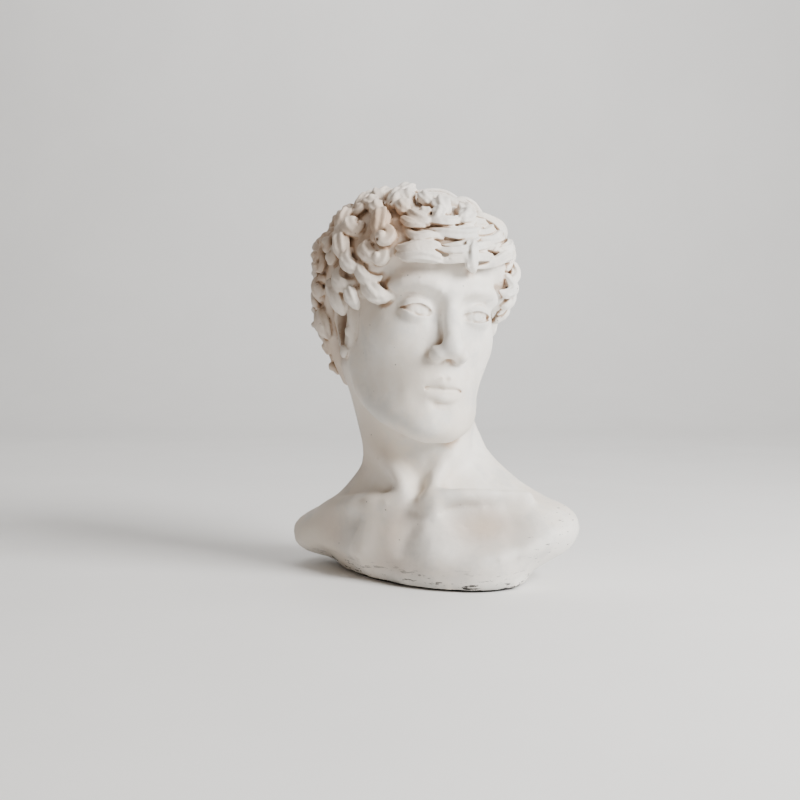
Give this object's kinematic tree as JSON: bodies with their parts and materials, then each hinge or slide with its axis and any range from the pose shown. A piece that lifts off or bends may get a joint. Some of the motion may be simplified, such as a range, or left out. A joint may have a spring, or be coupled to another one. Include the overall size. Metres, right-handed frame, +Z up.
{
  "type": "bust",
  "caption": "Hollow cast bust of a young man with short curly hair, closed by a base board with a felt sheet beneath and a steel rod inside the neck.",
  "frame": {"origin": "on the resting face (the underside of the felt sheet), below the middle of the shoulders", "axes": "+Z up the bust, the chest faces -Y, the wearer's left is +X; the head is turned towards +X"},
  "size_m": [0.3563, 0.24, 0.4559],
  "materials": {
    "casting": "matte",
    "lining": "matte",
    "plaster": "matte",
    "steel": "satin",
    "batten_wood": "matte",
    "board_wood": "matte",
    "felt": "matte"
  },
  "bodies": {
    "root": {"bust_casting": "casting", "scrim_lining": "lining", "neck_wad": "plaster", "crown_wad": "plaster", "neck_rod": "steel", "rod_washers": "steel", "rod_nuts": "steel", "base_screws": "steel", "cross_batten": "batten_wood", "rim_blocks": "batten_wood", "base_board": "board_wood", "felt_sheet": "felt"}
  },
  "joints": []
}
